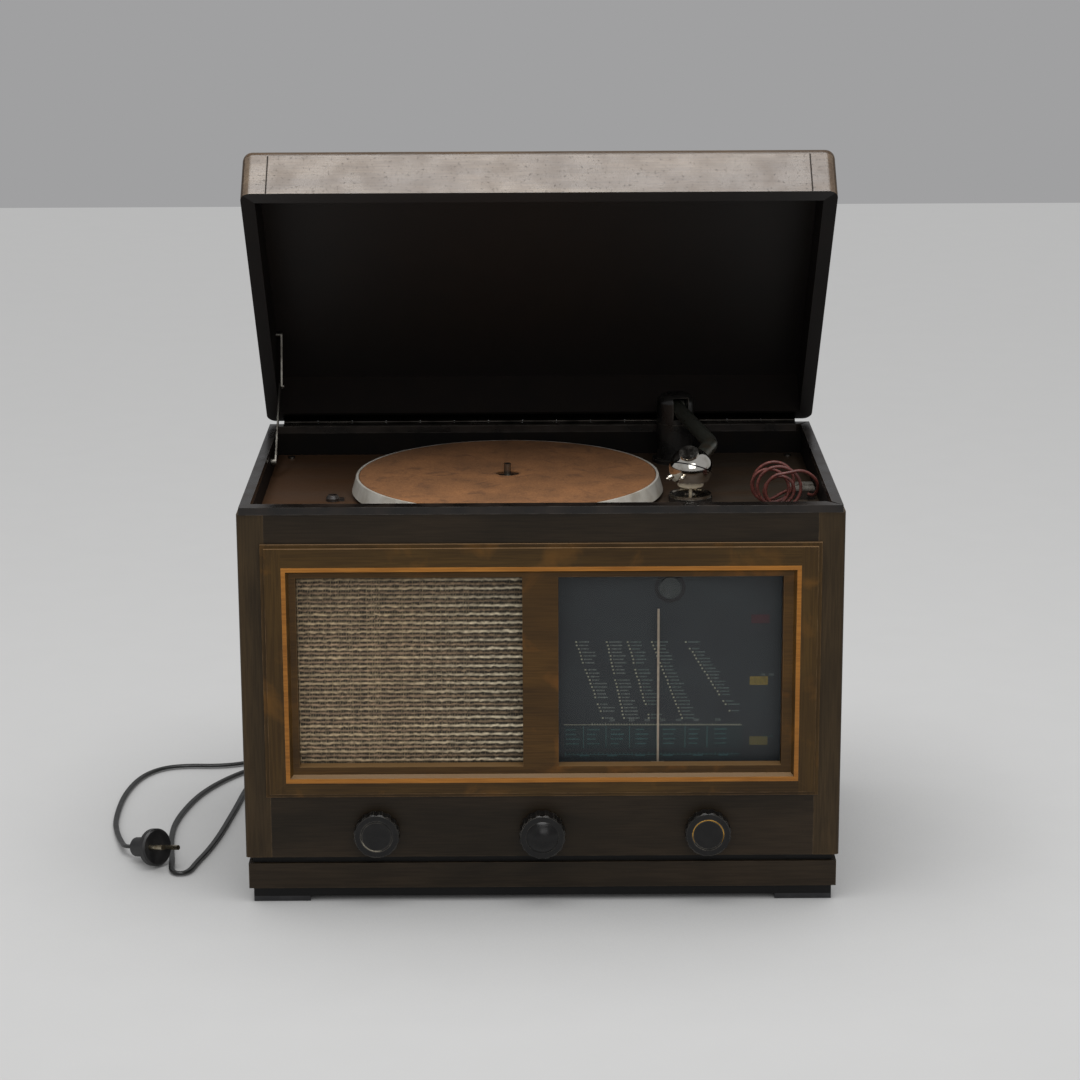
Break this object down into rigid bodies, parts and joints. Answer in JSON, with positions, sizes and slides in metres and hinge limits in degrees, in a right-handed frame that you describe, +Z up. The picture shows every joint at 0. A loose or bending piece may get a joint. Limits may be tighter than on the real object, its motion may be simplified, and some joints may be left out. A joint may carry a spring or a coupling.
{
  "type": "table radiogram",
  "caption": "Wooden table radiogram: valve receiver with cloth grille, tuning dial and knobs below, turntable and tone arm under a hinged lid held by a folding stay, with mains lead and plug.",
  "frame": {"origin": "on the floor, in the middle of the object's box as it stands with its lid open, without the mains lead", "axes": "+Z up, -Y to the front, +X to the right of someone who faces the front"},
  "size_m": [0.712, 0.5249, 0.6842],
  "materials": {
    "walnut_panel": "satin lacquer",
    "lid_inside": "dull stain",
    "inlay": "satin lacquer",
    "black_wood": "black lacquer",
    "plain_board": "bare",
    "fibre_board": "bare fibre",
    "laminate": "brown moulded",
    "rubber_black": "matt",
    "grille_weave": "coarse weave",
    "speaker_metal": "grey paint",
    "cone_paper": "pressed paper",
    "clear_glass": "clear",
    "dial_print": "dark printed scale",
    "eye_glass": "dark glass",
    "valve_glass": "clear",
    "plated_sheet": "dull",
    "nickel": "worn nickel plate",
    "rest_white": "grey rubber",
    "felt": "tan felt",
    "steel": "dull plated",
    "black_mould": "polished",
    "pointer_red": "painted",
    "plug_brass": "worn",
    "lead_brown": "braided cover",
    "lead_maroon": "braided cover"
  },
  "bodies": {
    "cabinet": {"base_frame": "black_wood", "feet": "black_wood", "plinth": "walnut_panel", "left_side_panel": "walnut_panel", "right_side_panel": "walnut_panel", "front_rails": "walnut_panel", "corner_posts": "walnut_panel", "bottom_board": "plain_board", "back_rail": "plain_board", "motor_board": "plain_board", "rim_lipping": "black_wood", "fascia_frame": "walnut_panel", "inlay_bead": "inlay", "window_surround": "walnut_panel", "back_cover": "fibre_board", "socket_strip": "laminate", "cord_bush": "rubber_black", "grille_cloth": "grille_weave", "speaker_baffle": "plain_board", "speaker_frame": "speaker_metal", "speaker_cone": "cone_paper", "dial_glass": "clear_glass", "dial_plate": "dial_print", "magic_eye": "eye_glass", "chassis": "plated_sheet", "mains_transformer": "speaker_metal", "screening_cans": "plated_sheet", "valves": "valve_glass", "tuning_capacitor": "plated_sheet", "motor": "speaker_metal", "needle_cup": "nickel", "arm_rest": "rest_white", "terminal_block": "laminate", "arm_base": "nickel", "hinge_cabinet_leaf": "steel", "screws": "nickel", "mains_lead": "lead_brown", "plug_body": "black_mould", "plug_pins": "plug_brass", "pickup_lead": "lead_maroon"},
    "lid": {"lid_top": "walnut_panel", "lid_front": "walnut_panel", "lid_frame": "lid_inside", "hinge_lid_leaf": "steel"},
    "stay_lower": {"stay_lower_arm": "steel"},
    "stay_upper": {"stay_upper_arm": "steel"},
    "turntable": {"platter": "nickel", "felt_mat": "felt", "spindle": "nickel"},
    "arm_swivel": {"arm_turret": "nickel"},
    "arm": {"arm_tube": "nickel", "pickup_head": "nickel", "needle_holder": "nickel"},
    "volume_control": {"volume_knob": "black_mould"},
    "tuning_control": {"tuning_knob": "black_mould"},
    "tone_control": {"tone_knob": "black_mould"},
    "pointer": {"dial_pointer": "pointer_red"},
    "rotor": {"tuning_rotor": "plated_sheet"},
    "lever": {"speed_lever": "black_mould"}
  },
  "joints": [
    {"name": "lid_hinge", "type": "hinge", "parent": "cabinet", "child": "lid", "pos_m": [0, 0.165, 0.38516], "axis": [1, 0, 0], "range_deg": [0, 49.5]},
    {"name": "stay_lower_pivot", "type": "hinge", "parent": "cabinet", "child": "stay_lower", "pos_m": [-0.26, 0.0568, 0.3691], "axis": [1, 0, 0], "range_deg": [-1.47, 0.2]},
    {"name": "stay_upper_pivot", "type": "hinge", "parent": "lid", "child": "stay_upper", "pos_m": [-0.26, 0.14286, 0.48], "axis": [1, 0, 0], "range_deg": [-0.2, 55.33]},
    {"name": "platter_spin", "type": "hinge", "parent": "cabinet", "child": "turntable", "pos_m": [-0.0316, -0.011, 0.36], "axis": [0, 0, 1], "continuous": true},
    {"name": "arm_swing", "type": "hinge", "parent": "cabinet", "child": "arm_swivel", "pos_m": [0.1363, 0.118, 0.395], "axis": [0, 0, -1], "range_deg": [-4, 45]},
    {"name": "arm_lift", "type": "hinge", "parent": "arm_swivel", "child": "arm", "pos_m": [0.1363, 0.118, 0.4105], "axis": [-0.9593, -0.2823, 0], "range_deg": [0, 7.5]},
    {"name": "volume_turn", "type": "hinge", "parent": "cabinet", "child": "volume_control", "pos_m": [-0.1543, -0.19, 0.0708], "axis": [0, 1, 0], "range_deg": [0, 270]},
    {"name": "tuning_turn", "type": "hinge", "parent": "cabinet", "child": "tuning_control", "pos_m": [0, -0.19, 0.0708], "axis": [0, 1, 0], "range_deg": [-358, 358]},
    {"name": "tone_turn", "type": "hinge", "parent": "cabinet", "child": "tone_control", "pos_m": [0.1543, -0.19, 0.0708], "axis": [0, 1, 0], "range_deg": [-60, 60]},
    {"name": "pointer_slide", "type": "slide", "parent": "cabinet", "child": "pointer", "axis": [1, 0, 0], "range_m": [-0.0755, 0.0755]},
    {"name": "rotor_turn", "type": "hinge", "parent": "cabinet", "child": "rotor", "pos_m": [0.112, -0.15, 0.172], "axis": [0, 1, 0], "range_deg": [-90.5, 90.5]},
    {"name": "speed_turn", "type": "hinge", "parent": "cabinet", "child": "lever", "pos_m": [-0.1985, -0.043, 0.356], "axis": [0, 0, 1], "range_deg": [-30, 30]}
  ],
  "couplings": [
    {"joint": "stay_lower_pivot", "follows": "lid_hinge", "ratio": -0.025647},
    {"joint": "stay_upper_pivot", "follows": "lid_hinge", "ratio": 1.1118},
    {"joint": "pointer_slide", "follows": "tuning_turn", "m_per_rad": 0.012},
    {"joint": "rotor_turn", "follows": "tuning_turn", "ratio": 0.25157}
  ]
}
